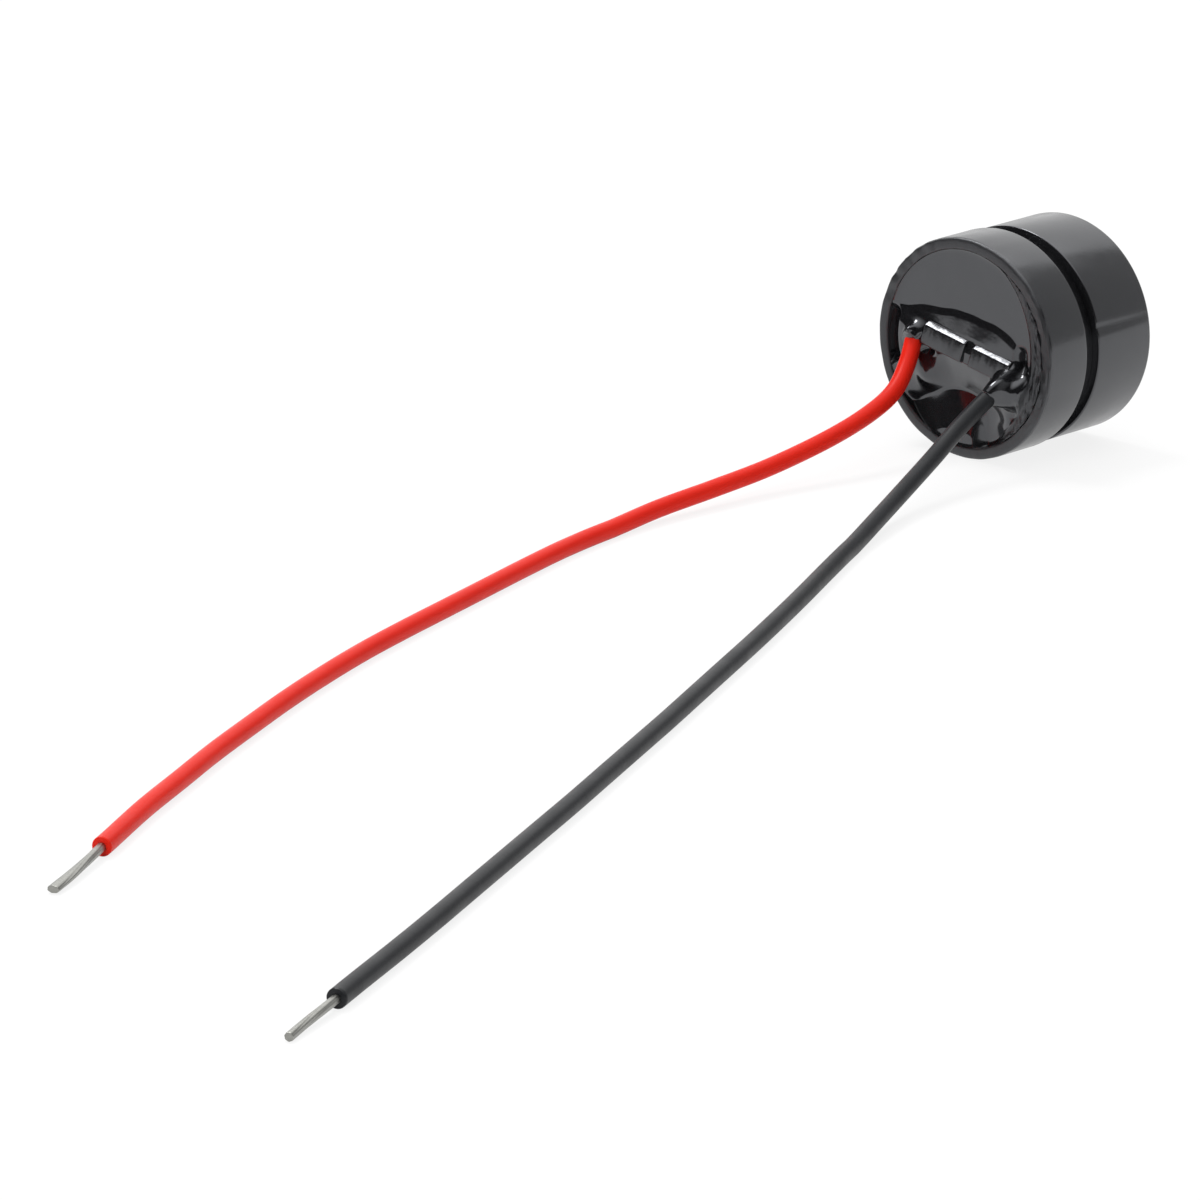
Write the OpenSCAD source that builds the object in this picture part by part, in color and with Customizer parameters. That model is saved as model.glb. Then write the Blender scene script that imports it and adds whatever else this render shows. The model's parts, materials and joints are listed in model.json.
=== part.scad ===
// Piezo buzzer with two flying leads, lying on its side as it rests on a table
// Stack height z runs from the sound face to the rear rim, then the whole is laid down along +Y

/* [Case] */
// Outer diameter of the rear section (mm)
rear_d = 12; // [11.6:0.1:13]
// Outer diameter of the front section (mm)
front_d = 11.8; // [11.6:0.1:12]
// Length from the sound face to the rear rim (mm)
case_l = 8.5; // [8.2:0.1:9.5]
// Length of the front section (mm)
front_l = 4.35; // [4.25:0.05:4.6]
// Width of the groove between the two sections (mm)
groove_w = 1.05; // [0.8:0.05:1.2]
// Diameter of the sound hole (mm)
sound_hole_d = 2.2; // [1.6:0.1:3]

/* [Walls] */
// Wall of the front section (mm)
front_wall = 0.8; // [0.6:0.05:1]
// Thickness of the sound face (mm)
face_t = 1; // [0.6:0.1:1.2]
// Depth of the front cavity between the sound face and the diaphragm (mm)
cavity_depth = 1.2; // [0.8:0.1:1.4]
// Wall of the rear rim (mm)
rim_wall = 0.65; // [0.5:0.05:0.8]
// Depth of the rear well (mm)
well_depth = 0.8; // [0.6:0.05:1]
// Thickness of the base under the well (mm)
base_t = 0.8; // [0.6:0.05:1]

/* [Piezo element] */
// Gap between the brass plate and the bore, all round (mm)
plate_gap = 0.2; // [0.1:0.05:0.3]
// Thickness of the brass plate (mm)
plate_t = 0.15; // [0.1:0.05:0.2]
// Width of bare brass round the ceramic disc (mm)
brass_margin = 1.65; // [1.4:0.05:2]
// Thickness of the ceramic disc (mm)
ceramic_t = 0.2; // [0.1:0.05:0.25]

/* [Terminals] */
// Distance from a terminal pin to the chamber wall (mm)
pin_inset = 1.25; // [1.2:0.05:1.4]
// Diameter of a terminal pin (mm)
pin_d = 0.6; // [0.5:0.05:0.7]
// Turn of the terminals about the axis, seen from the rear (degrees)
roll_angle = -12; // [-20:1:0]

/* [Leads] */
// Outer diameter of a lead (mm)
lead_d = 0.95; // [0.8:0.05:1]
// Diameter of a tinned end (mm)
core_d = 0.44; // [0.4:0.02:0.5]

/* [Hidden] */
$fn = 48;
rear_r = rear_d / 2;
front_r = front_d / 2;
groove_end = front_l + groove_w;
neck_r = front_r - 0.45;
bore_r = front_r - front_wall;
slip = 0.05;
spigot_r = bore_r - slip;
spigot_wall = 0.55;
chamber_r = spigot_r - spigot_wall;
board_ledge = 0.4;
chamber_back_r = chamber_r - board_ledge;
plate_ledge = 0.7;
ledge_z = face_t + cavity_depth;
cavity_r = bore_r - plate_ledge;
plate_r = bore_r - plate_gap;
ceramic_r = plate_r - brass_margin;
plate_back = ledge_z + plate_t;
ceramic_back = plate_back + ceramic_t;
glue_h = 0.45;
spigot_z = plate_back + glue_h + 0.2;
well_floor = case_l - well_depth;
base_front = well_floor - base_t;
board_gap = 0.5;
board_t = 0.8;
board_back = base_front - board_gap;
board_z = board_back - board_t;
well_r = rear_r - rim_wall;
pool_drop = 0.2;
pool_z = case_l - pool_drop;
rib_rise = 0.4;
rib_top = case_l + rib_rise;
rib_w = 1.2;
rib_split = 0.5;
// Resin: shelf above the rib, level below it, and the mound over each terminal
shelf_h = 0.2;
shelf_edge = 1.5;
shelf_run = 0.6;
below_h = 0.5;
wall_h = 0.1;
shelf_end = 3.5;
shelf_end_run = 0.8;
mound_h = 0.75;
mound_r = 1.3;
mound_drop = 0.3;
meniscus = 0.07;
mound_top = pool_z + mound_h;
overall_l = max(mound_top, rib_top);
pin_r = pin_d / 2;
pin_x = chamber_r - pin_inset;
pin_proud = 0.35;
pin_front = board_z - pin_proud;
pin_back = case_l + 0.15;
joint_r = 0.5;
rib_end = pin_x - joint_r - 0.1;
lead_r = lead_d / 2;
core_r = core_d / 2;
lead_z = case_l + 0.15;
lead_drop = 0.5;
jumper_r = 0.12;
// Where the jumpers stand, upright from the plate and the ceramic to the board
plate_tap = [0, ceramic_r + brass_margin / 3];
ceramic_tap = [0, ceramic_r - 1.35];
// Angle on the case edge of the small moulding nick
nick_angle = 13;

// Lead routes from the exit: sideways, backwards, and the share of the exit height still to fall
red_route = [
    [0, 0, 1],
    [0.5, -1.2, 0.77],
    [0.9, -2.7, 0.58],
    [1, -4.8, 0.44],
    [0.8, -7.8, 0.3],
    [0.3, -11.8, 0.16],
    [0, -15.8, 0.09],
    [-0.2, -19.8, 0.04],
    [0.1, -23.8, 0],
    [0.75, -27.8, 0],
    [1.7, -31.8, 0],
    [2.75, -35.8, 0],
    [3.8, -39.8, 0],
    [4.85, -43.8, 0],
    [6, -47.8, 0],
    [7.35, -51.8, 0],
    [8.85, -55.8, 0],
    [10.5, -59.8, 0],
    [12.2, -63.8, 0],
    [14.05, -67.8, 0],
    [15.9, -71.8, 0],
    [17.95, -75.8, 0],
    [18.5, -76.9, 0]
];
black_route = [
    [0, 0, 1],
    [0.1, -2.2, 0.79],
    [0.4, -4.4, 0.6],
    [0.9, -6.8, 0.4],
    [1.9, -10.3, 0.2],
    [3.2, -13.8, 0.08],
    [4.9, -17.8, 0],
    [6.8, -21.8, 0],
    [8.75, -25.8, 0],
    [10.65, -29.8, 0],
    [12.5, -33.8, 0],
    [14.3, -37.8, 0],
    [16.1, -41.8, 0],
    [17.9, -45.8, 0],
    [19.65, -49.8, 0],
    [21.4, -53.8, 0],
    [23.15, -57.8, 0],
    [24.85, -61.8, 0],
    [26.55, -65.8, 0],
    [28.25, -69.8, 0],
    [29.95, -73.8, 0],
    [31.6, -77.8, 0],
    [33.2, -81.8, 0],
    [34.1, -84, 0]
];
// Tinned ends, from the end of the lead: the red one bends part way, the black one is straight
red_bend = [1.2, -2.5, 0];
red_tip = [2.2, -5, 0];
black_tip = [1.4, -4.2, 0];

// Lays the stack on its side with the sound face towards +Y
module lie() {
    translate([0, overall_l / 2, rear_r])
        rotate([90, 0, 0])
            children();
}

// Turns the terminals and all that goes with them about the axis
module rolled() {
    lie()
        rotate([0, 0, roll_angle])
            children();
}

// A point of the rear face, given across and up in the turned frame, in the lying frame
function lying(u, v, z) = [
    u * cos(roll_angle) - v * sin(roll_angle),
    overall_l / 2 - z,
    rear_r + u * sin(roll_angle) + v * cos(roll_angle)
];

// Lead curves
function unit(v) = v / norm(v);
function laid(route, exit) = [
    for (p = route) [exit[0] + p[0], exit[1] + p[1], lead_r + p[2] * (exit[2] - lead_r)]
];
function spline(p, i, t) =
    let (a = p[max(i - 1, 0)], b = p[i], c = p[i + 1], d = p[min(i + 2, len(p) - 1)])
    0.5 * (2 * b + (c - a) * t + (2 * a - 5 * b + 4 * c - d) * t * t
        + (3 * b - a - 3 * c + d) * t * t * t);
function curve(p, n) = [
    for (k = [0 : n])
        let (s = k * (len(p) - 1) / n, i = min(floor(s), len(p) - 2))
        spline(p, i, s - i)
];
function heading(p, i) =
    i == 0 ? unit(p[1] - p[0]) :
    i == len(p) - 1 ? unit(p[i] - p[i - 1]) :
    unit(unit(p[i + 1] - p[i]) + unit(p[i] - p[i - 1]));
function ring(c, t, r) =
    let (side = unit(cross(t, [0, 0, 1])), up = cross(side, t))
    [for (k = [0 : 7]) c + r * (cos(k * 45 + 22.5) * side + sin(k * 45 + 22.5) * up)];

// A tube of eight sides along a list of points, cut square to what goes on from its end
module tube(p, r, onward) {
    n = len(p);
    points = [for (i = [0 : n - 1]) each ring(p[i], i == n - 1 ? unit(onward) : heading(p, i), r)];
    sides = [for (i = [0 : n - 2]) for (k = [0 : 7])
        [i * 8 + k, i * 8 + (k + 1) % 8, (i + 1) * 8 + (k + 1) % 8, (i + 1) * 8 + k]];
    far = [for (k = [0 : 7]) (n - 1) * 8 + k];
    polyhedron(points, concat([[7, 6, 5, 4, 3, 2, 1, 0]], sides, [far]), 2);
}

red_exit = lying(-pin_x, -lead_drop, lead_z);
black_exit = lying(pin_x, -lead_drop, lead_z);
red_points = curve(laid(red_route, red_exit), 38);
black_points = curve(laid(black_route, black_exit), 40);
red_end = red_points[len(red_points) - 1];
black_end = black_points[len(black_points) - 1];

// A round bar between two points
module bar(a, b, r) {
    v = b - a;
    translate(a)
        rotate([0, acos(v[2] / norm(v)), atan2(v[1], v[0])])
            cylinder(r = r, h = norm(v));
}

// Case
module front_case() {
    color([0.05, 0.05, 0.055])
        lie()
            difference() {
                rotate_extrude()
                    polygon([
                        [sound_hole_d / 2, 0.12],
                        [sound_hole_d / 2 + 0.12, 0],
                        [front_r - 0.2, 0],
                        [front_r - 0.06, 0.06],
                        [front_r, 0.2],
                        [front_r, front_l - 0.06],
                        [front_r - 0.06, front_l],
                        [bore_r, front_l],
                        [bore_r, ledge_z],
                        [cavity_r, ledge_z],
                        [cavity_r, face_t],
                        [sound_hole_d / 2, face_t]
                    ]);
                rotate([0, 0, nick_angle])
                    translate([front_r - 0.1, -0.3, front_l - 0.22])
                        cube([0.4, 0.6, 0.4]);
            }
}

// One length of the stand-off rib, its section drawn across the rib
module rib(from, to) {
    translate([from, 0, 0])
        rotate([90, 0, 90])
            linear_extrude(to - from)
                polygon([
                    [-rib_w / 2, well_floor],
                    [rib_w / 2, well_floor],
                    [rib_w / 2, rib_top - 0.3],
                    [rib_w / 2 - 0.09, rib_top - 0.09],
                    [rib_w / 2 - 0.3, rib_top],
                    [-rib_w / 2 + 0.15, rib_top],
                    [-rib_w / 2 + 0.05, rib_top - 0.05],
                    [-rib_w / 2, rib_top - 0.15]
                ]);
}

module ribs() {
    rib(-rib_end, 0);
    rib(rib_split, rib_end);
}

module rear_case() {
    color([0.05, 0.05, 0.055])
        rolled()
            difference() {
                union() {
                    rotate_extrude()
                        polygon([
                            [0, base_front],
                            [chamber_back_r, base_front],
                            [chamber_back_r, board_back],
                            [chamber_r, board_back],
                            [chamber_r, spigot_z],
                            [spigot_r - 0.1, spigot_z],
                            [spigot_r, spigot_z + 0.15],
                            [spigot_r, front_l],
                            [neck_r, front_l],
                            [neck_r, groove_end],
                            [rear_r - 0.06, groove_end],
                            [rear_r, groove_end + 0.06],
                            [rear_r, case_l - 0.25],
                            [rear_r - 0.08, case_l - 0.07],
                            [rear_r - 0.25, case_l],
                            [well_r + 0.12, case_l],
                            [well_r, case_l - 0.12],
                            [well_r, well_floor],
                            [0, well_floor]
                        ]);
                    ribs();
                }
                for (x = [-pin_x, pin_x])
                    translate([x, 0, board_back])
                        cylinder(r = pin_r, h = case_l - board_back);
            }
}

// Sealing resin: a pool with a meniscus, a shelf round the rib and a mound over each terminal
function ease(t) = t * t * (3 - 2 * t);

module resin_shelf() {
    rise = [for (i = [0 : 8]) let (t = i / 8)
        [shelf_edge - shelf_run * t, pool_z - 0.02 + shelf_h * ease(t)]];
    fall = [for (i = [0 : 8]) let (t = i / 8)
        [-rib_w / 2 - t * (well_r - rib_w / 2), pool_z + below_h - (below_h - wall_h) * t * t]];
    end = [for (i = [0 : 8]) let (t = i / 8)
        [shelf_end + shelf_end_run * (1 - t), pool_z - 0.02 + below_h * ease(t)]];
    intersection() {
        translate([-well_r, 0, 0])
            rotate([90, 0, 90])
                linear_extrude(2 * well_r)
                    polygon(concat([[-well_r, well_floor], [shelf_edge, well_floor]], rise, fall));
        translate([0, well_r, 0])
            rotate([90, 0, 0])
                linear_extrude(2 * well_r)
                    polygon(concat(
                        [[-well_r, well_floor], [shelf_end + shelf_end_run, well_floor]],
                        end,
                        [[shelf_end, pool_z + 2 * below_h], [-well_r, pool_z + 2 * below_h]]));
        rotate_extrude()
            polygon([
                [0, well_floor],
                [well_r, well_floor],
                [well_r, pool_z + wall_h],
                [well_r - 0.3, pool_z + below_h * 0.55],
                [well_r - 0.7, pool_z + below_h * 0.85],
                [well_r - 1.2, pool_z + below_h * 1.05],
                [well_r - 2.4, pool_z + below_h * 1.2],
                [0, pool_z + below_h * 1.2]
            ]);
    }
}

module mound(x) {
    translate([x, -mound_drop, 0])
        rotate_extrude()
            polygon([
                [0, well_floor],
                [mound_r, well_floor],
                [mound_r, pool_z],
                [mound_r * 0.88, pool_z + mound_h * 0.26],
                [mound_r * 0.77, pool_z + mound_h * 0.53],
                [mound_r * 0.65, pool_z + mound_h * 0.79],
                [mound_r * 0.46, pool_z + mound_h * 0.94],
                [mound_r * 0.23, mound_top],
                [0, mound_top]
            ]);
}

module potting() {
    color([0.03, 0.03, 0.035])
        difference() {
            rolled()
                difference() {
                    union() {
                        rotate_extrude()
                            polygon([
                                [0, well_floor],
                                [well_r, well_floor],
                                [well_r, pool_z + meniscus],
                                [well_r - 0.1, pool_z + meniscus * 0.45],
                                [well_r - 0.25, pool_z + meniscus * 0.15],
                                [well_r - 0.5, pool_z],
                                [0, pool_z]
                            ]);
                        resin_shelf();
                        intersection() {
                            union() {
                                mound(-pin_x);
                                mound(pin_x);
                            }
                            translate([0, 0, well_floor])
                                cylinder(r = well_r, h = mound_top);
                        }
                    }
                    ribs();
                    pin_shape(-pin_x);
                    pin_shape(pin_x);
                    joint_shape(-pin_x);
                    joint_shape(pin_x);
                }
            bar(red_points[0], red_points[0] + 3 * heading(red_points, 0), lead_r);
            bar(black_points[0], black_points[0] + 3 * heading(black_points, 0), lead_r);
        }
}

// Piezo element
module diaphragm_plate() {
    color([0.78, 0.6, 0.25])
        lie()
            translate([0, 0, ledge_z])
                cylinder(r = plate_r, h = plate_t);
}

module piezo_ceramic() {
    color([0.85, 0.84, 0.8])
        lie()
            translate([0, 0, plate_back])
                cylinder(r = ceramic_r, h = ceramic_t);
}

module diaphragm_glue() {
    color([0.8, 0.8, 0.78])
        lie()
            rotate_extrude()
                polygon([
                    [plate_r, ledge_z],
                    [bore_r, ledge_z],
                    [bore_r, plate_back + glue_h],
                    [bore_r - 0.15, plate_back + glue_h - 0.05],
                    [plate_r - 0.3, plate_back],
                    [plate_r, plate_back]
                ]);
}

module jumper(at, from) {
    translate([at[0], at[1], from])
        cylinder(r = jumper_r, h = board_z - from);
}

module bead(at, from, r, h) {
    translate([at[0], at[1], from])
        difference() {
            cylinder(r1 = r, r2 = jumper_r + 0.06, h = h);
            translate([0, 0, -h])
                cylinder(r = jumper_r, h = 3 * h);
        }
}

module plate_jumper() {
    color([0.75, 0.75, 0.76])
        rolled()
            jumper(plate_tap, plate_back);
}

module ceramic_jumper() {
    color([0.75, 0.75, 0.76])
        rolled()
            jumper(ceramic_tap, ceramic_back);
}

module plate_solder() {
    color([0.7, 0.7, 0.72])
        rolled()
            bead(plate_tap, plate_back, 0.4, 0.3);
}

module ceramic_solder() {
    color([0.7, 0.7, 0.72])
        rolled()
            bead(ceramic_tap, ceramic_back, 0.5, 0.3);
}

// Driver board and what is on it
module circuit_board() {
    color([0.1, 0.35, 0.18])
        rolled()
            difference() {
                translate([0, 0, board_z])
                    cylinder(r = chamber_r - slip, h = board_t);
                for (x = [-pin_x, pin_x])
                    translate([x, 0, board_z - board_t])
                        cylinder(r = pin_r, h = 3 * board_t);
            }
}

module chip(x, y, w, d, h) {
    translate([x - w / 2, y - d / 2, board_z - h])
        cube([w, d, h]);
}

module transistor_body() {
    color([0.08, 0.08, 0.08])
        rolled()
            translate([-1.45, -2.05, board_z - 1.05])
                cube([2.9, 1.3, 0.95]);
}

module transistor_legs() {
    color([0.75, 0.75, 0.76])
        rolled() {
            chip(-0.95, -2.35, 0.4, 0.6, 0.1);
            chip(0.95, -2.35, 0.4, 0.6, 0.1);
            chip(0, -0.45, 0.4, 0.6, 0.1);
            chip(0, -1.4, 2.3, 1.3, 0.1);
        }
}

module bias_resistor() {
    color([0.12, 0.12, 0.13])
        rolled()
            chip(-2, 1.2, 1.6, 0.8, 0.45);
}

module feedback_resistor() {
    color([0.12, 0.12, 0.13])
        rolled()
            chip(2, 1.2, 1.6, 0.8, 0.45);
}

module capacitor() {
    color([0.6, 0.48, 0.35])
        rolled()
            chip(2, -1.5, 0.5, 1, 0.5);
}

// Terminals
module pin_shape(x) {
    translate([x, 0, pin_front])
        cylinder(r = pin_r, h = pin_back - pin_front);
}

module joint_shape(x) {
    translate([x, 0, well_floor])
        difference() {
            cylinder(r1 = joint_r, r2 = pin_r + 0.1, h = pin_back - well_floor - 0.15);
            translate([0, 0, -base_t])
                cylinder(r = pin_r, h = pin_back - base_front);
        }
}

module board_fillet(x) {
    translate([x, 0, board_z - 0.3])
        difference() {
            cylinder(r1 = pin_r + 0.08, r2 = pin_r + 0.4, h = 0.3);
            translate([0, 0, -pin_proud])
                cylinder(r = pin_r, h = 3 * pin_proud);
        }
}

module positive_pin() {
    color([0.78, 0.76, 0.7])
        rolled()
            pin_shape(-pin_x);
}

module negative_pin() {
    color([0.78, 0.76, 0.7])
        rolled()
            pin_shape(pin_x);
}

module positive_solder() {
    color([0.7, 0.7, 0.72])
        rolled()
            board_fillet(-pin_x);
}

module negative_solder() {
    color([0.7, 0.7, 0.72])
        rolled()
            board_fillet(pin_x);
}

module red_joint() {
    color([0.7, 0.7, 0.72])
        rolled()
            joint_shape(-pin_x);
}

module black_joint() {
    color([0.7, 0.7, 0.72])
        rolled()
            joint_shape(pin_x);
}

// Leads
module red_lead() {
    color([0.85, 0.08, 0.05])
        tube(red_points, lead_r, red_bend);
}

module black_lead() {
    color([0.06, 0.06, 0.07])
        tube(black_points, lead_r, black_tip);
}

module red_tinned_end() {
    color([0.75, 0.75, 0.76]) {
        bar(red_end, red_end + red_bend, core_r);
        translate(red_end + red_bend)
            sphere(r = core_r);
        bar(red_end + red_bend, red_end + red_tip, core_r);
    }
}

module black_tinned_end() {
    color([0.75, 0.75, 0.76])
        bar(black_end, black_end + black_tip, core_r);
}

front_case();
rear_case();
potting();
diaphragm_plate();
piezo_ceramic();
diaphragm_glue();
circuit_board();
transistor_body();
transistor_legs();
bias_resistor();
feedback_resistor();
capacitor();
plate_jumper();
ceramic_jumper();
plate_solder();
ceramic_solder();
positive_pin();
negative_pin();
positive_solder();
negative_solder();
red_joint();
black_joint();
red_lead();
black_lead();
red_tinned_end();
black_tinned_end();
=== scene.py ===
# Piezo buzzer with a red and a black flying lead, lying on a white table
import json
import math

import bpy
from mathutils import Matrix, Vector, noise


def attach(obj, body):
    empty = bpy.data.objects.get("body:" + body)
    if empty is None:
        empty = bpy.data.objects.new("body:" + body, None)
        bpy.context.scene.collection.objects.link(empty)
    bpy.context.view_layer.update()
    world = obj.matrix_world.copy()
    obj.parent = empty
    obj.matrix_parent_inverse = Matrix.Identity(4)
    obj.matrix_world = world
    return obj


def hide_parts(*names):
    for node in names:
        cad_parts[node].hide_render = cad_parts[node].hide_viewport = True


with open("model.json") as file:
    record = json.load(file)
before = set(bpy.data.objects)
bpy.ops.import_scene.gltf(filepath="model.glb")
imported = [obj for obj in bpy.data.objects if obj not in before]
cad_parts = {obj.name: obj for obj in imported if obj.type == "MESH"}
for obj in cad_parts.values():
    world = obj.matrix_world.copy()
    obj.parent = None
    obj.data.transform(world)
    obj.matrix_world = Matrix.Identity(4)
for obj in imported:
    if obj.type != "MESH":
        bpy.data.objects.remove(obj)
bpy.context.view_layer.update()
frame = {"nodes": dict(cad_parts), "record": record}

# Sizes shared with the part, in millimetres
MM = 0.001
REAR_R = 6.0
FRONT_R = 5.9
CASE_L = 8.5
FRONT_L = 4.35
GROOVE_END = 5.4
NECK_R = 5.45
MOUND_TOP = 9.05
WELL_FLOOR = 7.7
WELL_R = 5.35
POOL = 8.3
RIB_TOP = 8.9
RIB_W = 1.2
RIB_SPANS = ((-2.65, 0.28), (0.78, 3.4))
PIN_X = 3.25
ROLL = math.radians(-12)
LEAD_R = 0.475
CORE_R = 0.22
LEAD_Z = 8.65
LEAD_DROP = 0.5
HOLE_R = 1.1

# Inside of the case, in millimetres from the axis and from the sound face
FACE_T = 1.0
CAVITY_R = 4.4
LEDGE = 2.2
BORE_R = 5.1
SPIGOT_R = 5.05
SPIGOT_START = 3.0
CHAMBER_R = 4.5
BOARD_BACK = 6.4
CHAMBER_BACK_R = 4.1
BASE_FRONT = 6.9
BASE_HOLE_R = 0.35


# Frame helpers
def lying(x, y, s):
    """A point across, up and along from the sound face in millimetres, in the row frame in metres."""
    return Vector((x, MOUND_TOP / 2 - s, REAR_R + y)) * MM


def turned(u, v):
    """Across and up on the rear face, from the frame of the terminals."""
    return u * math.cos(ROLL) - v * math.sin(ROLL), u * math.sin(ROLL) + v * math.cos(ROLL)


def unturned(x, y):
    """Across and up in the frame of the terminals."""
    return x * math.cos(ROLL) + y * math.sin(ROLL), -x * math.sin(ROLL) + y * math.cos(ROLL)


def new_piece(name, verts, faces, material, sharp):
    """A smooth mesh object that rides on the part, with sharp edges above an angle in degrees."""
    mesh = bpy.data.meshes.new(name)
    mesh.from_pydata([tuple(v) for v in verts], [], faces)
    mesh.validate()
    mesh.update()
    for p in mesh.polygons:
        p.use_smooth = True
    mesh.set_sharp_from_angle(angle=math.radians(sharp))
    mesh.materials.append(material)
    obj = bpy.data.objects.new(name, mesh)
    bpy.context.scene.collection.objects.link(obj)
    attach(obj, "root")
    return obj


def clamp(x, low=0.0, high=1.0):
    return max(low, min(high, x))


def smooth_step(a, b, x):
    t = clamp((x - a) / (b - a))
    return t * t * (3 - 2 * t)


def soft_max(a, b, k):
    h = clamp(0.5 + 0.5 * (a - b) / k)
    return b + (a - b) * h + k * h * (1 - h)


def soft_min(a, b, k):
    return -soft_max(-a, -b, k)


# Materials
def material(name):
    mat = bpy.data.materials.new(name)
    mat.use_nodes = True
    tree = mat.node_tree
    shader = tree.nodes["Principled BSDF"]
    return mat, tree, shader


def object_point(tree):
    return tree.nodes.new("ShaderNodeTexCoord").outputs["Object"]


def add_noise(tree, scale, detail=3.0, rough=0.5, stretch=None):
    """A noise texture in object space, and its output."""
    tex = tree.nodes.new("ShaderNodeTexNoise")
    tex.inputs["Scale"].default_value = scale
    tex.inputs["Detail"].default_value = detail
    tex.inputs["Roughness"].default_value = rough
    source = object_point(tree)
    if stretch is not None:
        mapping = tree.nodes.new("ShaderNodeMapping")
        mapping.inputs["Scale"].default_value = stretch
        tree.links.new(source, mapping.inputs["Vector"])
        source = mapping.outputs["Vector"]
    tree.links.new(source, tex.inputs["Vector"])
    return tex.outputs["Fac"]


def ramp(tree, source, low, high, to_low, to_high, smooth=False):
    node = tree.nodes.new("ShaderNodeMapRange")
    node.interpolation_type = "SMOOTHSTEP" if smooth else "LINEAR"
    node.inputs["From Min"].default_value = low
    node.inputs["From Max"].default_value = high
    node.inputs["To Min"].default_value = to_low
    node.inputs["To Max"].default_value = to_high
    tree.links.new(source, node.inputs["Value"])
    return node.outputs["Result"]


def combine(tree, operation, a, b):
    """A math node of two outputs, or of an output and a number."""
    node = tree.nodes.new("ShaderNodeMath")
    node.operation = operation
    for socket, value in zip(node.inputs, (a, b)):
        if isinstance(value, (int, float)):
            socket.default_value = value
        else:
            tree.links.new(value, socket)
    return node.outputs["Value"]


def mix_colour(tree, factor, a, b):
    node = tree.nodes.new("ShaderNodeMix")
    node.data_type = "RGBA"
    node.inputs["A"].default_value = (*a, 1)
    node.inputs["B"].default_value = (*b, 1)
    tree.links.new(factor, node.inputs["Factor"])
    return node.outputs["Result"]


def bump(tree, source, strength, distance, normal=None):
    node = tree.nodes.new("ShaderNodeBump")
    node.inputs["Strength"].default_value = strength
    node.inputs["Distance"].default_value = distance
    tree.links.new(source, node.inputs["Height"])
    if normal is not None:
        tree.links.new(normal, node.inputs["Normal"])
    return node.outputs["Normal"]


def surface(name, low, high, rough, scale, metal=0.0, grain=None, specular=0.5, ior=1.5, tint=None):
    """A finish whose colour and gloss vary over the surface, with an optional fine grain."""
    mat, tree, shader = material(name)
    cloud = add_noise(tree, scale)
    tree.links.new(mix_colour(tree, cloud, low, high), shader.inputs["Base Color"])
    gloss = add_noise(tree, scale * 2.3, 4.0)
    tree.links.new(ramp(tree, gloss, 0.3, 0.7, *rough), shader.inputs["Roughness"])
    shader.inputs["Metallic"].default_value = metal
    shader.inputs["Specular IOR Level"].default_value = specular
    shader.inputs["IOR"].default_value = ior
    if tint is not None:
        shader.inputs["Specular Tint"].default_value = (*tint, 1)
    if grain is not None:
        fine = add_noise(tree, grain[0], 2.0)
        tree.links.new(bump(tree, fine, grain[1], grain[2]), shader.inputs["Normal"])
    return mat


def roughen(mat, mask, rough, streak, strength, distance):
    """Turns a glossy finish matt and streaked where a mask in the finish's own tree is 1."""
    tree = mat.node_tree
    shader = tree.nodes["Principled BSDF"]
    gloss = shader.inputs["Roughness"].links[0].from_socket
    blend = tree.nodes.new("ShaderNodeMix")
    tree.links.new(mask, blend.inputs["Factor"])
    tree.links.new(gloss, blend.inputs["A"])
    blend.inputs["B"].default_value = rough
    tree.links.new(blend.outputs["Result"], shader.inputs["Roughness"])
    grooves = combine(tree, "MULTIPLY", mask, add_noise(tree, streak[0], 3.0, 0.6, streak[1]))
    under = shader.inputs["Normal"].links[0].from_socket
    tree.links.new(bump(tree, grooves, strength, distance, under), shader.inputs["Normal"])


COOL = (0.93, 0.95, 1.0)
CASE_LOW = (0.006, 0.006, 0.007)
CASE_HIGH = (0.011, 0.011, 0.012)


def case_plastic(name):
    """The glossy black plastic of both sections of the case."""
    return surface(name, CASE_LOW, CASE_HIGH, (0.16, 0.24), 500, grain=(5000, 0.12, 2e-5),
                   specular=1.0, ior=1.545, tint=COOL)


case_mat = case_plastic("case_plastic")
rear_mat = case_plastic("rear_case_plastic")
resin_mat = surface("resin_black", (0.005, 0.005, 0.006), (0.009, 0.009, 0.01), (0.1, 0.18), 600,
                    grain=(4000, 0.15, 2e-5), specular=1.0, ior=1.56, tint=COOL)
red_mat = surface("sleeve_red", (0.71, 0.016, 0.007), (0.78, 0.022, 0.01), (0.32, 0.4), 300,
                  grain=(3000, 0.15, 3e-5), specular=0.11)
black_mat = surface("sleeve_black", (0.012, 0.013, 0.015), (0.02, 0.021, 0.024), (0.36, 0.46), 300,
                    grain=(3000, 0.15, 3e-5), specular=0.26)
tin_mat = surface("tinned_copper", (0.29, 0.29, 0.27), (0.41, 0.41, 0.385), (0.3, 0.45), 3000,
                  metal=1.0)
solder_mat = surface("solder", (0.5, 0.5, 0.52), (0.66, 0.66, 0.68), (0.25, 0.4), 2500, metal=1.0)
brass_mat = surface("brass_sheet", (0.66, 0.48, 0.17), (0.78, 0.6, 0.26), (0.22, 0.38), 900,
                    metal=1.0)
ceramic_mat = surface("silvered_ceramic", (0.62, 0.61, 0.57), (0.74, 0.73, 0.7), (0.45, 0.6), 900)
glue_mat = surface("silicone_bead", (0.7, 0.7, 0.68), (0.8, 0.8, 0.78), (0.35, 0.5), 900)
board_mat = surface("board_laminate", (0.03, 0.16, 0.07), (0.05, 0.22, 0.1), (0.4, 0.55), 900)
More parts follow.
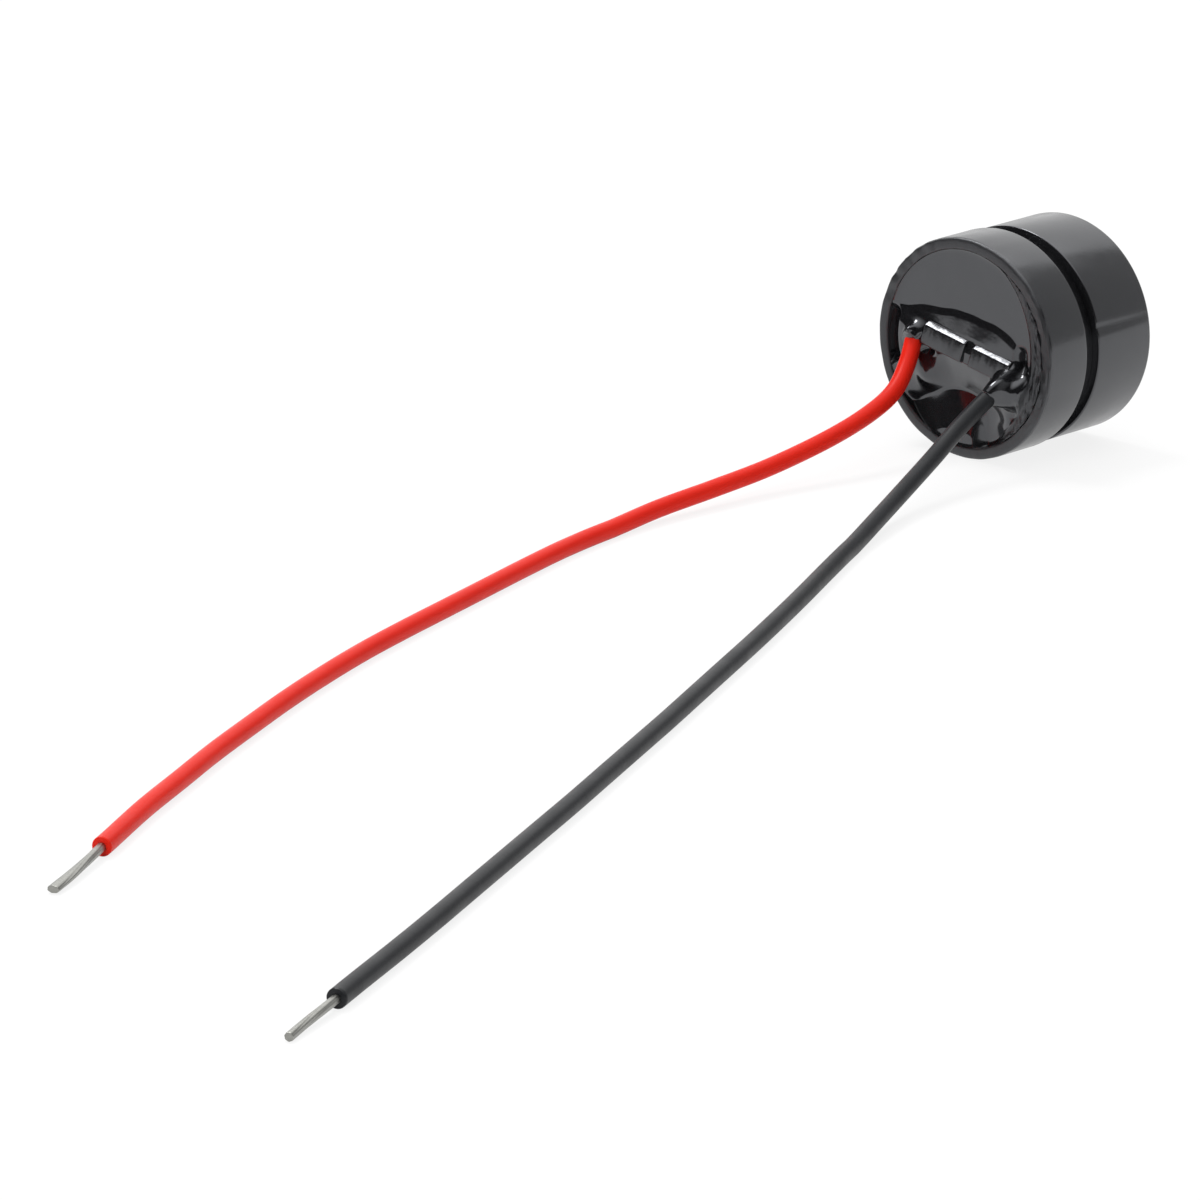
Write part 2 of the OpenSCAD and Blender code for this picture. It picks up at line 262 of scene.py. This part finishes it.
chip_mat = surface("chip_moulding", (0.015, 0.015, 0.016), (0.03, 0.03, 0.03), (0.45, 0.6), 1500)
capacitor_mat = surface("capacitor_body", (0.34, 0.24, 0.16), (0.44, 0.33, 0.23), (0.4, 0.55), 1500)


def rim_mask(tree):
    """1 on the rear rim, 0 on the barrel."""
    split = tree.nodes.new("ShaderNodeSeparateXYZ")
    tree.links.new(object_point(tree), split.inputs["Vector"])
    rim_y = (MOUND_TOP / 2 - CASE_L) * MM
    return ramp(tree, split.outputs["Y"], rim_y + 0.16 * MM, rim_y + 0.08 * MM, 0, 1)


def ring_mask(tree, across, up, radius, soft):
    """1 outside a circle on the rear face, 0 inside it, in millimetres from the case axis."""
    flat = tree.nodes.new("ShaderNodeVectorMath")
    flat.operation = "MULTIPLY"
    flat.inputs[1].default_value = (1, 0, 1)
    tree.links.new(object_point(tree), flat.inputs[0])
    away = tree.nodes.new("ShaderNodeVectorMath")
    away.operation = "DISTANCE"
    away.inputs[1].default_value = (across * MM, 0, (REAR_R + up) * MM)
    tree.links.new(flat.outputs["Vector"], away.inputs[0])
    return ramp(tree, away.outputs["Value"], radius * MM, (radius + soft) * MM, 0, 1)


# The smear of resin on the right of the rim lies outside a circle that is set off to the left
SMEAR_X = -1.6
SMEAR_Y = 0.2
SMEAR_R = 6.17
roughen(rear_mat, rim_mask(rear_mat.node_tree), 0.52, (2600, (1, 1, 0.35)), 0.8, 4e-5)
roughen(resin_mat, ring_mask(resin_mat.node_tree, SMEAR_X, SMEAR_Y, SMEAR_R, 0.05), 0.45,
        (2600, (1, 1, 0.2)), 1.0, 7e-5)

finishes = {
    "brass": brass_mat,
    "ceramic": ceramic_mat,
    "glue": glue_mat,
    "board": board_mat,
    "chip": chip_mat,
    "capacitor": capacitor_mat,
    "tin": tin_mat,
    "solder": solder_mat,
    "case": case_mat,
    "resin": resin_mat,
    "red_sleeve": red_mat,
    "black_sleeve": black_mat,
}
for entry in frame["record"]["subparts"]:
    node = frame["nodes"][entry["node"]]
    node.data.materials.clear()
    node.data.materials.append(finishes[entry["material_slot"]])


# Case
def fillet(points, steps=5):
    """A profile of (radius, height, corner radius) points with its corners rounded."""
    out = []
    for i, (r, s, c) in enumerate(points):
        here = Vector((r, s))
        if c <= 0 or i == 0 or i == len(points) - 1:
            out.append((r, s))
            continue
        before = Vector(points[i - 1][:2]) - here
        after = Vector(points[i + 1][:2]) - here
        c = min(c, before.length * 0.48, after.length * 0.48)
        a = here + before.normalized() * c
        b = here + after.normalized() * c
        for k in range(steps + 1):
            t = k / steps
            p = a * (1 - t) ** 2 + here * 2 * t * (1 - t) + b * t * t
            out.append((p.x, p.y))
    return out


def lathe(name, profile, material, segments, wear):
    """A turned piece about the case axis; wear moves a point, given its angle, radius and height."""
    verts = []
    faces = []
    n = len(profile)
    for k in range(segments):
        a = 2 * math.pi * k / segments
        for r, s in profile:
            r, s = wear(a, r, s)
            verts.append(lying(r * math.cos(a), r * math.sin(a), s))
    for k in range(segments):
        m = (k + 1) % segments
        for i in range(n):
            j = (i + 1) % n
            faces.append((k * n + i, m * n + i, m * n + j, k * n + j))
    return new_piece(name, verts, faces, material, 35)


def angle_from(a, centre):
    """The turn from a direction in degrees to an angle in radians, in degrees either way."""
    return (math.degrees(a) - centre + 180) % 360 - 180


front_profile = fillet([
    (HOLE_R, FACE_T / 2, 0),
    (HOLE_R, 0, 0.12),
    (FRONT_R, 0, 0.22),
    (FRONT_R, FRONT_L, 0.1),
    (BORE_R, FRONT_L, 0),
    (BORE_R, LEDGE, 0),
    (CAVITY_R, LEDGE, 0),
    (CAVITY_R, FACE_T, 0),
    (HOLE_R, FACE_T, 0),
])

# Place and half width of the nick in degrees, and its depth in millimetres
NICK_AT = 13
NICK_HALF = 3.4
NICK_DEPTH = 0.08


def front_wear(a, r, s):
    """A nick in the edge of the front section at the groove."""
    d = abs(angle_from(a, NICK_AT))
    if s > FRONT_L - 0.3 and r > FRONT_R - 0.2 and d < NICK_HALF:
        r -= NICK_DEPTH * (1 - d / NICK_HALF)
    return r, s


front_obj = lathe("front_shell", front_profile, case_mat, 240, front_wear)
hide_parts("front_case")

rear_profile = fillet([
    (BASE_HOLE_R, BASE_FRONT, 0),
    (CHAMBER_BACK_R, BASE_FRONT, 0),
    (CHAMBER_BACK_R, BOARD_BACK, 0),
    (CHAMBER_R, BOARD_BACK, 0),
    (CHAMBER_R, SPIGOT_START, 0),
    (SPIGOT_R, SPIGOT_START, 0.12),
    (SPIGOT_R, FRONT_L, 0),
    (NECK_R, FRONT_L, 0.03),
    (NECK_R, GROOVE_END, 0.05),
    (REAR_R, GROOVE_END, 0.16),
    (REAR_R, CASE_L, 0.25),
    (WELL_R, CASE_L, 0.16),
    (WELL_R, WELL_FLOOR, 0),
    (BASE_HOLE_R, WELL_FLOOR, 0),
])

# Directions of the smeared and the lumpy stretch of the rim in degrees
SMEAR_AT = 0
LUMPS_AT = 137
# Unevenness of the rim in millimetres
RIM_WAVE = 0.03
RIM_SINK = 0.012
RIM_WOBBLE = 0.018
SMEAR_WAVE = 0.1
LUMP_WAVE = 0.12
LUMP_DENT = 0.04


def rear_wear(a, r, s):
    """An uneven rear rim, smeared on the right and lumpy on the upper left."""
    if s > CASE_L - 0.35 and r > WELL_R - 0.05:
        p = Vector((math.cos(a) * 3.2, math.sin(a) * 3.2, 0.4))
        s += RIM_WAVE * noise.noise(p) - RIM_SINK
        r += RIM_WOBBLE * noise.noise(p * 2.3)
        smear = smooth_step(60, 25, abs(angle_from(a, SMEAR_AT)))
        s += SMEAR_WAVE * smear * noise.noise(Vector((r * 9, a * 7, 1.7)))
        lumps = smooth_step(34, 18, abs(angle_from(a, LUMPS_AT)))
        s += LUMP_WAVE * lumps * (noise.noise(p * 3.1 + Vector((0, 0, r * 2))) - 0.25)
        r -= LUMP_DENT * lumps * abs(noise.noise(p * 4.0))
    return r, s


rear_obj = lathe("rear_shell", rear_profile, rear_mat, 300, rear_wear)
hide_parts("rear_case")

# Rounding of a rib's ends in millimetres, and the steps along it
RIB_ROUND = 0.06
RIB_INSET = 0.02
RIB_STEPS = 46


def rib(name, u0, u1):
    """A stand-off rib with a steep slope along its upper side, a little ragged as moulded."""
    half = RIB_W / 2
    section = fillet([
        (-half, WELL_FLOOR, 0),
        (half, WELL_FLOOR, 0),
        (half, RIB_TOP - 0.37, 0.04),
        (half - 0.17, RIB_TOP - 0.08, 0.05),
        (-half, RIB_TOP + 0.07, 0.07),
        (-half, WELL_FLOOR + 0.2, 0),
    ], 4)
    verts = []
    faces = []
    n = len(section)
    stations = [(u0, RIB_ROUND), (u0 + RIB_INSET, RIB_INSET), (u0 + RIB_ROUND, 0)]
    for k in range(1, RIB_STEPS):
        stations.append((u0 + RIB_ROUND + (u1 - u0 - 2 * RIB_ROUND) * k / RIB_STEPS, 0))
    stations += [(u1 - RIB_ROUND, 0), (u1 - RIB_INSET, RIB_INSET), (u1, RIB_ROUND)]
    for u, inset in stations:
        for v, s in section:
            if s > WELL_FLOOR + 0.25:
                p = Vector((u * 4.5, v * 6, s * 6))
                ragged = 0.012 if v > 0.3 else 0.004
                v += ragged * noise.noise(p)
                v -= math.copysign(inset, v)
                s -= inset
                s += 0.006 * noise.noise(p * 1.7)
            x, y = turned(u, v)
            verts.append(lying(x, y, s))
    for i in range(len(stations) - 1):
        for k in range(n):
            m = (k + 1) % n
            faces.append((i * n + k, i * n + m, (i + 1) * n + m, (i + 1) * n + k))
    faces.append(tuple(reversed(range(n))))
    faces.append(tuple((len(stations) - 1) * n + k for k in range(n)))
    return new_piece(name, verts, faces, case_mat, 40)


rib("rib_left", *RIB_SPANS[0])
rib("rib_right", *RIB_SPANS[1])

# Roots of the leads, across and up on the rear face
red_x, red_y = turned(-PIN_X, -LEAD_DROP)
black_x, black_y = turned(PIN_X, -LEAD_DROP)

# Resin in the rear well: drops at the roots of the leads and below them, and a hollow beside the red one
# Across, up, width, height and fullness of each, in millimetres but for the last
DROPS = [
    (red_x + 0.13, red_y + 0.2, 0.6, 0.3, 1),
    (red_x + 0.12, red_y + 0.55, 0.2, 0.38, 1),
    (red_x + 0.85, red_y - 0.55, 0.5, -0.5, 1),
    (red_x + 0.75, red_y - 2.1, 0.7, 0.34, 1),
    (black_x + 0.3, black_y - 0.45, 0.95, 1.55, 2),
    (black_x - 0.05, black_y - 2.7, 0.85, 0.5, 1),
]
# Resin drawn up round the sleeves: across, up, height and reach of each
COLLARS = [
    (red_x, red_y - 0.1, 0.2, 0.12),
    (black_x + 0.07, black_y - 0.65, 0.2, 0.15),
]
# Levels of the resin above its pool
STEP = 0.12
TOP_LEVEL = 0.5
VALLEY_LEVEL = -0.45
RIM_LEVEL = CASE_L - POOL
SMEAR_LEVEL = RIM_LEVEL - 0.06
SLOPE_LEVEL = 0.1
# Arch of the shelf: its top, where that lies across, its bend and unevenness, and the rounding on the right
ARCH_TOP = 1.82
ARCH_X = -1.2
ARCH_BEND = 0.038
ARCH_WAVE = 0.08
ARCH_CORNER = 2.0
SHELF_RIGHT = 4.05
SHELF_CLIMB = 0.165
# Valley: its middle stretch, how it falls away on both sides, and the climb from it
VALLEY_UP = -2.4
VALLEY_LEFT = -1.4
VALLEY_RIGHT = 0.2
VALLEY_FALL = 0.5
VALLEY_CLIMB = 0.26
# Depth, place from the right of the shelf and width of the groove there
GROOVE_DEPTH = 0.5
GROOVE_IN = 0.22
GROOVE_WIDTH = 0.24
# Crease along the ribs
CREASE_DEPTH = 0.03
CREASE_WIDTH = 0.04
# Edge of the pool
DEEP_EDGE = 0.5
EDGE_RISE = 0.1
EDGE_WIDTH = 0.15
# Lip, streaks and gully of the smear
LIP_RISE = 0.06
LIP_WIDTH = 0.07
STREAK_RISE = 0.16
GULLY_DEPTH = 0.16
GULLY_IN = 0.22
GULLY_WIDTH = 0.1
# Unevenness of the whole surface, and the fineness of its mesh
RESIN_WAVE = 0.012
RESIN_RINGS = 190
RESIN_SEGMENTS = 420


def mound(distance, width):
    """1 at no distance, and less away from there."""
    return math.exp(-(distance / width) ** 2)


def shelf_height(x, y, side):
    """An arched step up to a shelf that climbs towards the ribs."""
    arch = ARCH_TOP - ARCH_BEND * (x - ARCH_X) ** 2 - y
    arch += ARCH_WAVE * noise.noise(Vector((x * 0.9, 0.3, 5.0)))
    inside = soft_min(arch, side, ARCH_CORNER)
    return STEP * smooth_step(-0.22, 0.2, inside) + SHELF_CLIMB * clamp(inside - 0.15, 0.0, 0.85)


def fill_height(x, y, side, r):
    """A slope down from the ribs to a valley, and a gentle climb from there to the lower rim."""
    ribs = (-RIB_W / 2 + x * math.sin(ROLL)) / math.cos(ROLL)
    beside = soft_max(VALLEY_LEFT - x, x - VALLEY_RIGHT, 1.2)
    valley = VALLEY_UP - VALLEY_FALL * soft_max(beside, 0.0, 0.8)
    bend = 1 + smooth_step(-0.8, -2.6, x)
    way = clamp((ribs - y) / (ribs - valley), 0.0, 1.6)
    slope = TOP_LEVEL + (VALLEY_LEVEL - TOP_LEVEL) * way ** bend
    climb = VALLEY_LEVEL + VALLEY_CLIMB * smooth_step(1.4, 0.5, x) * (valley - y)
    fill = soft_max(slope, min(climb, RIM_LEVEL), 0.08)
    fill *= smooth_step(-0.1, 0.5, side)
    over = max(fill - SLOPE_LEVEL, 0.0)
    return min(fill, SLOPE_LEVEL) + over * smooth_step(0.0, 1.3, WELL_R - r)


def resin_height(x, y):
    """Height of the resin above its pool, in millimetres."""
    u, v = unturned(x, y)
    r = math.hypot(x, y)
    side = SHELF_RIGHT - x
    below = smooth_step(0.75, -0.1, v)
    h = shelf_height(x, y, side) * (1 - below) + fill_height(x, y, side, r) * below
    # Groove down the right of the shelf
    groove = mound(side - GROOVE_IN, GROOVE_WIDTH)
    h -= GROOVE_DEPTH * groove * smooth_step(0.8, 0.2, y) * smooth_step(-2.8, -1.8, y)
    # Drops and collars
    for across, up, width, height, fullness in DROPS:
        apart = ((x - across) ** 2 + (y - up) ** 2) / width ** 2
        h += height * math.exp(-apart ** fullness)
    for across, up, height, reach in COLLARS:
        gap = math.hypot(x - across, y - up) - LEAD_R
        h += height * math.exp(-max(gap, 0.0) / reach)
    # Fine crease along the ribs
    for start, end in RIB_SPANS:
        du = max(start - u, u - end, 0.0)
        dv = max(abs(v) - RIB_W / 2, 0.0)
        h -= CREASE_DEPTH * math.exp(-math.hypot(du, dv) / CREASE_WIDTH)
    # Deep edge on the left, rising edge elsewhere
    deep = smooth_step(19, 12, abs(angle_from(math.atan2(y, x), 180)))
    h -= DEEP_EDGE * deep * smooth_step(4.3, 5.0, r)
    h += EDGE_RISE * (1 - deep) * math.exp(-(WELL_R - r) / EDGE_WIDTH)
    # Lip and streaked smear on the right
    out = math.hypot(x - SMEAR_X, y - SMEAR_Y) - SMEAR_R
    h += LIP_RISE * mound(out, LIP_WIDTH)
    if out > 0:
        streak = noise.noise(Vector((x * 7, y * 1.3, 0.7)))
        streak += 0.5 * noise.noise(Vector((x * 15, y * 2.5, 3.1)))
        h += (SMEAR_LEVEL + STREAK_RISE * streak - h) * clamp(out / 0.3)
        h -= GULLY_DEPTH * mound(out - GULLY_IN, GULLY_WIDTH) * smooth_step(2.0, 0.5, abs(y + 0.2))
    return h + RESIN_WAVE * noise.noise(Vector((x * 0.9, y * 0.9, 2.0)))


def resin():
    """The resin as a disc of rings, with a wall and a floor under it."""
    verts = []
    faces = []
    rings = RESIN_RINGS
    seg = RESIN_SEGMENTS
    for i in range(rings + 1):
        r = WELL_R * (i / rings) ** 0.9
        for k in range(seg):
            a = 2 * math.pi * k / seg
            x = r * math.cos(a)
            y = r * math.sin(a)
            verts.append(lying(x, y, POOL + resin_height(x, y)))
    for i in range(rings):
        for k in range(seg):
            m = (k + 1) % seg
            faces.append((i * seg + k, i * seg + m, (i + 1) * seg + m, (i + 1) * seg + k))
    base = len(verts)
    for k in range(seg):
        a = 2 * math.pi * k / seg
        verts.append(lying(WELL_R * math.cos(a), WELL_R * math.sin(a), WELL_FLOOR))
    for k in range(seg):
        m = (k + 1) % seg
        faces.append((rings * seg + k, rings * seg + m, base + m, base + k))
    verts.append(lying(0, 0, WELL_FLOOR))
    for k in range(seg):
        faces.append((base + k, base + (k + 1) % seg, len(verts) - 1))
    return new_piece("resin_fill", verts, faces, resin_mat, 60)


resin_obj = resin()
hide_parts("potting")

# Routes of the leads as in the part: across and along from the exit, and share of the exit's height
RED_ROUTE = [
    (0, 0, 1), (0.5, -1.2, 0.77), (0.9, -2.7, 0.58), (1, -4.8, 0.44), (0.8, -7.8, 0.3), (0.3, -11.8, 0.16),
    (0, -15.8, 0.09), (-0.2, -19.8, 0.04), (0.1, -23.8, 0), (0.75, -27.8, 0), (1.7, -31.8, 0),
    (2.75, -35.8, 0), (3.8, -39.8, 0), (4.85, -43.8, 0), (6, -47.8, 0), (7.35, -51.8, 0), (8.85, -55.8, 0),
    (10.5, -59.8, 0), (12.2, -63.8, 0), (14.05, -67.8, 0), (15.9, -71.8, 0), (17.95, -75.8, 0),
    (18.5, -76.9, 0),
]
BLACK_ROUTE = [
    (0, 0, 1), (0.1, -2.2, 0.79), (0.4, -4.4, 0.6), (0.9, -6.8, 0.4), (1.9, -10.3, 0.2), (3.2, -13.8, 0.08),
    (4.9, -17.8, 0), (6.8, -21.8, 0), (8.75, -25.8, 0), (10.65, -29.8, 0), (12.5, -33.8, 0),
    (14.3, -37.8, 0), (16.1, -41.8, 0), (17.9, -45.8, 0), (19.65, -49.8, 0), (21.4, -53.8, 0),
    (23.15, -57.8, 0), (24.85, -61.8, 0), (26.55, -65.8, 0), (28.25, -69.8, 0), (29.95, -73.8, 0),
    (31.6, -77.8, 0), (33.2, -81.8, 0), (34.1, -84, 0),
]
# Run of each tinned end from its sleeve: across, along, and share of the droop to the table
RED_CORE = ((0, 0, 0), (1.2, -2.5, 0.4), (2.2, -5, 1))
BLACK_CORE = ((0, 0, 0), (0.7, -2.1, 0.4), (1.4, -4.2, 1))
# Strands, the millimetres along in which they make one turn, and their relief as a share of the radius
STRANDS = 7
STRAND_PITCH = 24
STRAND_RELIEF = 0.08


def laid(route, exit_point):
    """Points of a route in the row frame, in metres."""
    ex, ey, ez = (c / MM for c in exit_point)
    return [Vector((ex + p[0], ey + p[1], LEAD_R + p[2] * (ez - LEAD_R))) * MM for p in route]


def core(route, exit_point, run):
    """Points of a tinned end, which droops from the middle of its sleeve to the table."""
    end = laid(route, exit_point)[-1]
    droop = CORE_R - LEAD_R
    return [end + Vector((x, y, droop * share)) * MM for x, y, share in run]


def spline(points, per=8):
    """A smooth curve through points, with a number of steps between each two."""
    out = []
    n = len(points)
    for i in range(n - 1):
        a = points[max(i - 1, 0)]
        b = points[i]
        c = points[i + 1]
        d = points[min(i + 2, n - 1)]
        for k in range(per):
            t = k / per
            out.append(0.5 * (2 * b + (c - a) * t + (2 * a - 5 * b + 4 * c - d) * t * t
                              + (3 * b - a - 3 * c + d) * t * t * t))
    out.append(points[-1])
    return out


def frames(path):
    """A heading, side and up at each point of a path, without twist."""
    out = []
    side = None
    for i in range(len(path)):
        t = (path[min(i + 1, len(path) - 1)] - path[max(i - 1, 0)]).normalized()
        if side is None:
            side = t.cross(Vector((0, 0, 1))).normalized()
        else:
            side = (side - t * side.dot(t)).normalized()
        out.append((t, side, side.cross(t)))
    return out


def tube(path, outline, sides):
    """Points and faces of a closed tube; outline gives offsets aside and up at a step and an angle."""
    verts = []
    faces = []
    for i, (p, (t, s, w)) in enumerate(zip(path, frames(path))):
        for k in range(sides):
            across, up = outline(i, 2 * math.pi * k / sides)
            verts.append(p + s * across + w * up)
    n = len(path)
    for i in range(n - 1):
        for k in range(sides):
            m = (k + 1) % sides
            faces.append((i * sides + k, i * sides + m, (i + 1) * sides + m, (i + 1) * sides + k))
    faces.append(tuple(reversed(range(sides))))
    faces.append(tuple((n - 1) * sides + k for k in range(sides)))
    return verts, faces


def length(path):
    return sum((b - a).length for a, b in zip(path, path[1:]))


def lead(name, node, route, exit_point, mat):
    """A sleeve along its route, kept above the table, with a slightly rounded end."""
    path = [Vector((p.x, p.y, max(p.z, LEAD_R * MM))) for p in spline(laid(route, exit_point))]
    last = path[-1] - (path[-1] - path[-2]).normalized() * 0.05 * MM
    skin = path[:-1] + [last, path[-1]]

    def outline(i, a):
        r = LEAD_R * MM if i < len(skin) - 1 else (LEAD_R - 0.04) * MM
        return r * math.cos(a), r * math.sin(a)

    verts, faces = tube(skin, outline, 28)
    obj = new_piece(name, verts, faces, mat, 40)
    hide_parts(node)
    return obj


def tinned(name, node, points, spread):
    """A tinned end of twisted strands fused by the tin, pressed flatter towards its tip by spread."""
    path = spline(points, 24)
    along = [length(path[:i + 1]) for i in range(len(path))]

    def outline(i, a):
        flat = 1 + spread * smooth_step(0.3, 0.85, along[i] / along[-1])
        twist = STRANDS * math.pi * along[i] / (STRAND_PITCH * MM)
        strand = 1 - STRAND_RELIEF + STRAND_RELIEF * abs(math.cos(STRANDS / 2 * a - twist))
        r = CORE_R * MM * strand * (0.95 if i == len(path) - 1 else 1)
        return r * flat * math.cos(a), r * math.sin(a) / math.sqrt(flat)

    verts, faces = tube(path, outline, 70)
    obj = new_piece(name, verts, faces, tin_mat, 50)
    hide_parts(node)
    return obj


red_exit = lying(red_x, red_y, LEAD_Z)
black_exit = lying(black_x, black_y, LEAD_Z)
red_tip = tinned("red_strands", "red_tinned_end", core(RED_ROUTE, red_exit, RED_CORE), 0.4)
black_tip = tinned("black_strands", "black_tinned_end", core(BLACK_ROUTE, black_exit, BLACK_CORE), 0)
lead("red_wire", "red_lead", RED_ROUTE, red_exit, red_mat)
lead("black_wire", "black_lead", BLACK_ROUTE, black_exit, black_mat)

# Floor, white to the camera and nearly so in reflections, with a share of its own shading for the shadow
FLOOR_GLOW = 0.84
GLOSSY_GLOW = 0.88
floor_mesh = bpy.data.meshes.new("floor")
floor_mesh.from_pydata([(-3, -3, 0), (3, -3, 0), (3, 3, 0), (-3, 3, 0)], [], [(0, 1, 2, 3)])
floor = bpy.data.objects.new("floor", floor_mesh)
bpy.context.scene.collection.objects.link(floor)
floor_mat, floor_tree, floor_shader = material("table_white")
floor_shader.inputs["Base Color"].default_value = (0.94, 0.94, 0.94, 1)
floor_shader.inputs["Roughness"].default_value = 0.7
floor_shader.inputs["Specular IOR Level"].default_value = 0.1
glow = floor_tree.nodes.new("ShaderNodeEmission")
path_node = floor_tree.nodes.new("ShaderNodeLightPath")
camera_ray = path_node.outputs["Is Camera Ray"]
glossy_ray = path_node.outputs["Is Glossy Ray"]
floor_tree.links.new(ramp(floor_tree, camera_ray, 0, 1, GLOSSY_GLOW, 1), glow.inputs["Strength"])
seen = combine(floor_tree, "MAXIMUM", camera_ray, glossy_ray)
blend = floor_tree.nodes.new("ShaderNodeMixShader")
floor_tree.links.new(combine(floor_tree, "MULTIPLY", seen, FLOOR_GLOW), blend.inputs["Fac"])
floor_tree.links.new(floor_shader.outputs["BSDF"], blend.inputs[1])
floor_tree.links.new(glow.outputs["Emission"], blend.inputs[2])
floor_out = floor_tree.nodes["Material Output"]
floor_tree.links.new(blend.outputs["Shader"], floor_out.inputs["Surface"])
floor_mesh.materials.append(floor_mat)

# Studio: dark towards the camera and its left, a bright wall behind on the left, light overhead
OVERHEAD_DARK = 0.03
OVERHEAD_LIGHT = 1.4
GREY_WALL = 0.42
LEFT_WALL = 0.74
WALL_FOOT = 0.37
world = bpy.data.worlds.new("studio")
bpy.context.scene.world = world
world.use_nodes = True
wt = world.node_tree
sky = wt.nodes["Background"]
coord = wt.nodes.new("ShaderNodeTexCoord")
split = wt.nodes.new("ShaderNodeSeparateXYZ")
wt.links.new(coord.outputs["Generated"], split.inputs["Vector"])
sky_x = split.outputs["X"]
sky_y = split.outputs["Y"]
sky_z = split.outputs["Z"]
overhead = ramp(wt, sky_z, 0.66, 0.96, OVERHEAD_DARK, OVERHEAD_LIGHT)
grey_wall = ramp(wt, sky_y, 0.0, 0.5, 0.0, GREY_WALL, True)
wall_side = ramp(wt, sky_x, 0.08, -0.02, 0.0, LEFT_WALL, True)
wall_back = ramp(wt, sky_y, 0.25, 0.6, 0.0, 1.0, True)
wall_foot = ramp(wt, sky_x, -0.5, -0.2, 0.0, WALL_FOOT, True)
wall_low = ramp(wt, combine(wt, "SUBTRACT", sky_z, wall_foot), -0.05, 0.05, 0.0, 1.0, True)
wall = combine(wt, "MULTIPLY", combine(wt, "MULTIPLY", wall_side, wall_back), wall_low)
total = combine(wt, "ADD", combine(wt, "ADD", overhead, grey_wall), wall)
wt.links.new(total, sky.inputs["Color"])
sky.inputs["Strength"].default_value = 1.0


def lamp(name, place, size, energy):
    """A square lamp that faces the object, with its place and size in metres."""
    data = bpy.data.lights.new(name, "AREA")
    data.size = size
    data.energy = energy
    obj = bpy.data.objects.new(name, data)
    obj.location = place
    obj.rotation_euler = (Vector((0, -0.02, 0)) - obj.location).to_track_quat("-Z", "Y").to_euler()
    bpy.context.scene.collection.objects.link(obj)
    return obj


lamp("key", (-0.19, 0.0, 0.4), 0.14, 0.95)
# The fill lights the near side of the leads without showing in the gloss of the case
fill_lamp = lamp("fill", (0.1, -0.5, 0.25), 0.3, 1.2)
fill_lamp.visible_glossy = False

# Camera, fitted to the photograph: lens and place in millimetres, direction in degrees
CAMERA_LENS = 225.8
CAMERA_SPOT = (249.794, -298.973, 107.29)
CAMERA_AZIMUTH = 43.112
CAMERA_ELEVATION = 16.611
cam_data = bpy.data.cameras.new("camera")
cam_data.sensor_width = 36
cam_data.lens = CAMERA_LENS
cam_data.clip_start = 0.01
cam_data.clip_end = 20
cam = bpy.data.objects.new("camera", cam_data)
az = math.radians(CAMERA_AZIMUTH)
el = math.radians(CAMERA_ELEVATION)
away = Vector((math.sin(az) * math.cos(el), -math.cos(az) * math.cos(el), math.sin(el)))
right = Vector((math.cos(az), math.sin(az), 0))
up = away.cross(right)
spot = Vector(CAMERA_SPOT) * MM
turn = Matrix((right, up, away)).transposed().to_4x4()
cam.matrix_world = Matrix.Translation(spot) @ turn
bpy.context.scene.collection.objects.link(cam)
bpy.context.scene.camera = cam
bpy.context.scene.view_settings.view_transform = "Standard"
